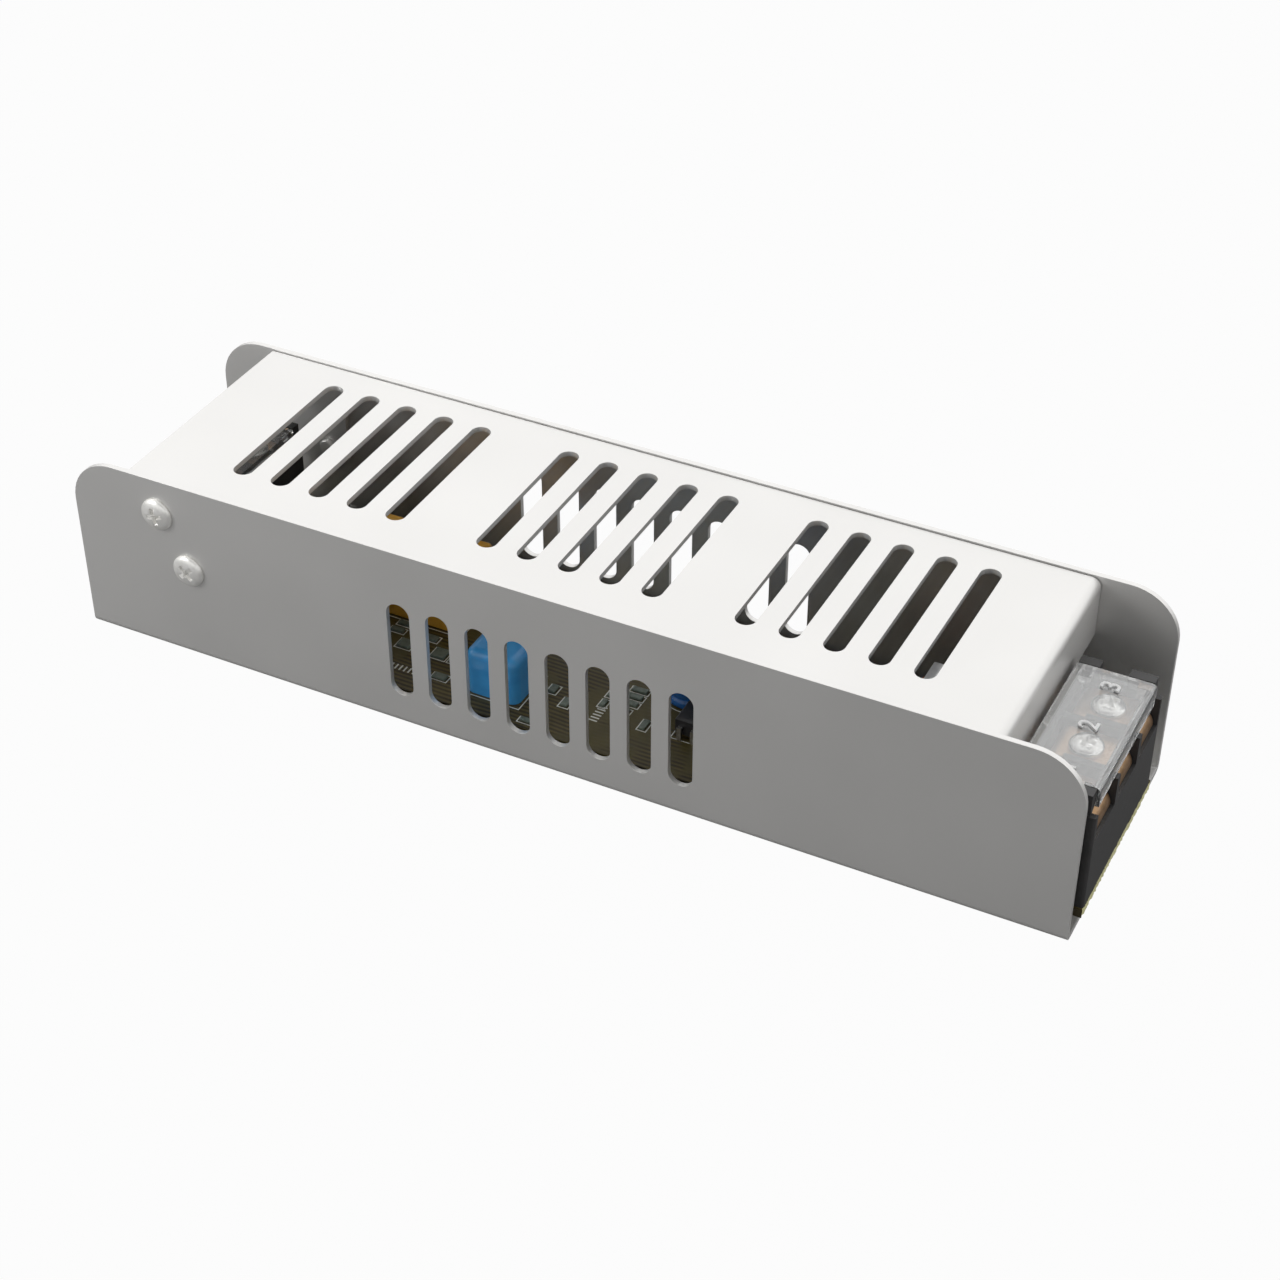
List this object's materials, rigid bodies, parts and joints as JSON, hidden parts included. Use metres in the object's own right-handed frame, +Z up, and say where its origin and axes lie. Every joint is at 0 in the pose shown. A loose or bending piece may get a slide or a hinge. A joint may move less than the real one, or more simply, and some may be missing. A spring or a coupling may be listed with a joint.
{
  "type": "power supply",
  "caption": "Slim enclosed switching power supply: a U-shaped metal channel, a slotted cover over a circuit board, and screw terminals under clear lids at its ends.",
  "frame": {"origin": "middle of the chassis' flat underside", "axes": "+X along the case towards the output end, +Y across it, +Z up away from the face it is fixed by"},
  "size_m": [0.1893, 0.0506, 0.0366],
  "materials": {
    "sheet_metal": "satin",
    "plated_screws": "bright zinc plate",
    "insulating_film": "smooth film",
    "circuit_board": "satin lacquer",
    "terminal_moulding": "moulded",
    "clear_lid": "clear, polished",
    "ochre_case": "moulded case",
    "blue_case": "dipped case",
    "black_epoxy": "moulded",
    "tinned_leads": "tinned",
    "heat_sink": "mill finish",
    "ferrite": "sintered",
    "coil_tape": "tape",
    "copper_winding": "enamelled wire",
    "dark_sleeve": "shrunk sleeve",
    "blue_sleeve": "shrunk sleeve",
    "fuse_glass": "clear",
    "green_coating": "dipped",
    "blue_coating": "dipped",
    "resistor_coating": "lacquered",
    "bronze_clamp": "passivated"
  },
  "bodies": {
    "housing": {"chassis": "sheet_metal", "cover": "sheet_metal", "wall_screws": "plated_screws", "insulating_film": "insulating_film", "board_standoffs": "plated_screws", "board_screws": "plated_screws", "circuit_board": "circuit_board", "output_terminal_body": "terminal_moulding", "input_terminal_body": "terminal_moulding", "x_capacitor": "ochre_case", "box_capacitor": "blue_case", "optocoupler": "black_epoxy", "optocoupler_pins": "tinned_leads", "bridge_rectifier": "black_epoxy", "bridge_pins": "tinned_leads", "mosfet": "black_epoxy", "mosfet_pins": "tinned_leads", "output_rectifier": "black_epoxy", "output_rectifier_pins": "tinned_leads", "heat_sink": "heat_sink", "rectifier_screw": "plated_screws", "transformer_core": "ferrite", "transformer_coil": "coil_tape", "transformer_rails": "terminal_moulding", "line_choke_core": "ferrite", "line_choke_coil_1": "copper_winding", "line_choke_coil_2": "copper_winding", "output_choke_core": "ferrite", "output_choke_winding": "copper_winding", "bulk_capacitor": "dark_sleeve", "bulk_saddle": "terminal_moulding", "output_capacitor_1": "blue_sleeve", "output_capacitor_2": "blue_sleeve", "auxiliary_capacitor": "blue_sleeve", "fuse_tube": "fuse_glass", "fuse_caps": "tinned_leads", "thermistor": "green_coating", "y_capacitor": "blue_coating", "resistors": "resistor_coating", "output_contact_1": "tinned_leads", "output_contact_2": "tinned_leads", "output_contact_3": "tinned_leads", "input_contact_1": "tinned_leads", "input_contact_2": "tinned_leads", "input_contact_3": "tinned_leads"},
    "output_lid": {"output_lid": "clear_lid"},
    "input_lid": {"input_lid": "clear_lid"},
    "output_clamp_1": {"output_clamp_1": "bronze_clamp"},
    "output_screw_1": {"output_screw_1": "plated_screws"},
    "output_clamp_2": {"output_clamp_2": "bronze_clamp"},
    "output_screw_2": {"output_screw_2": "plated_screws"},
    "output_clamp_3": {"output_clamp_3": "bronze_clamp"},
    "output_screw_3": {"output_screw_3": "plated_screws"},
    "input_clamp_1": {"input_clamp_1": "bronze_clamp"},
    "input_screw_1": {"input_screw_1": "plated_screws"},
    "input_clamp_2": {"input_clamp_2": "bronze_clamp"},
    "input_screw_2": {"input_screw_2": "plated_screws"},
    "input_clamp_3": {"input_clamp_3": "bronze_clamp"},
    "input_screw_3": {"input_screw_3": "plated_screws"}
  },
  "joints": [
    {"name": "output_lid_hinge", "type": "hinge", "parent": "housing", "child": "output_lid", "pos_m": [0.08305, -0.0046, 0.0268], "axis": [0, -1, 0], "range_deg": [0, 90]},
    {"name": "input_lid_hinge", "type": "hinge", "parent": "housing", "child": "input_lid", "pos_m": [-0.07305, -0.0031, 0.0268], "axis": [0, 1, 0], "range_deg": [0, 34]},
    {"name": "output_clamp_1_slide", "type": "slide", "parent": "housing", "child": "output_clamp_1", "axis": [0, 0, 1], "range_m": [0, 0.002]},
    {"name": "output_screw_1_turn", "type": "hinge", "parent": "output_clamp_1", "child": "output_screw_1", "pos_m": [0.088, -0.0156, 0.0228], "axis": [0, 0, 1], "range_deg": [0, 1440]},
    {"name": "output_clamp_2_slide", "type": "slide", "parent": "housing", "child": "output_clamp_2", "axis": [0, 0, 1], "range_m": [0, 0.002]},
    {"name": "output_screw_2_turn", "type": "hinge", "parent": "output_clamp_2", "child": "output_screw_2", "pos_m": [0.088, -0.0046, 0.0228], "axis": [0, 0, 1], "range_deg": [0, 1440]},
    {"name": "output_clamp_3_slide", "type": "slide", "parent": "housing", "child": "output_clamp_3", "axis": [0, 0, 1], "range_m": [0, 0.002]},
    {"name": "output_screw_3_turn", "type": "hinge", "parent": "output_clamp_3", "child": "output_screw_3", "pos_m": [0.088, 0.0064, 0.0228], "axis": [0, 0, 1], "range_deg": [0, 1440]},
    {"name": "input_clamp_1_slide", "type": "slide", "parent": "housing", "child": "input_clamp_1", "axis": [0, 0, 1], "range_m": [0, 0.002]},
    {"name": "input_screw_1_turn", "type": "hinge", "parent": "input_clamp_1", "child": "input_screw_1", "pos_m": [-0.078, 0.0079, 0.0228], "axis": [0, 0, 1], "range_deg": [0, 1440]},
    {"name": "input_clamp_2_slide", "type": "slide", "parent": "housing", "child": "input_clamp_2", "axis": [0, 0, 1], "range_m": [0, 0.002]},
    {"name": "input_screw_2_turn", "type": "hinge", "parent": "input_clamp_2", "child": "input_screw_2", "pos_m": [-0.078, -0.0031, 0.0228], "axis": [0, 0, 1], "range_deg": [0, 1440]},
    {"name": "input_clamp_3_slide", "type": "slide", "parent": "housing", "child": "input_clamp_3", "axis": [0, 0, 1], "range_m": [0, 0.002]},
    {"name": "input_screw_3_turn", "type": "hinge", "parent": "input_clamp_3", "child": "input_screw_3", "pos_m": [-0.078, -0.0141, 0.0228], "axis": [0, 0, 1], "range_deg": [0, 1440]}
  ],
  "couplings": [
    {"joint": "output_screw_1_turn", "follows": "output_clamp_1_slide", "rad_per_m": 12566},
    {"joint": "output_screw_2_turn", "follows": "output_clamp_2_slide", "rad_per_m": 12566},
    {"joint": "output_screw_3_turn", "follows": "output_clamp_3_slide", "rad_per_m": 12566},
    {"joint": "input_screw_1_turn", "follows": "input_clamp_1_slide", "rad_per_m": 12566},
    {"joint": "input_screw_2_turn", "follows": "input_clamp_2_slide", "rad_per_m": 12566},
    {"joint": "input_screw_3_turn", "follows": "input_clamp_3_slide", "rad_per_m": 12566}
  ]
}
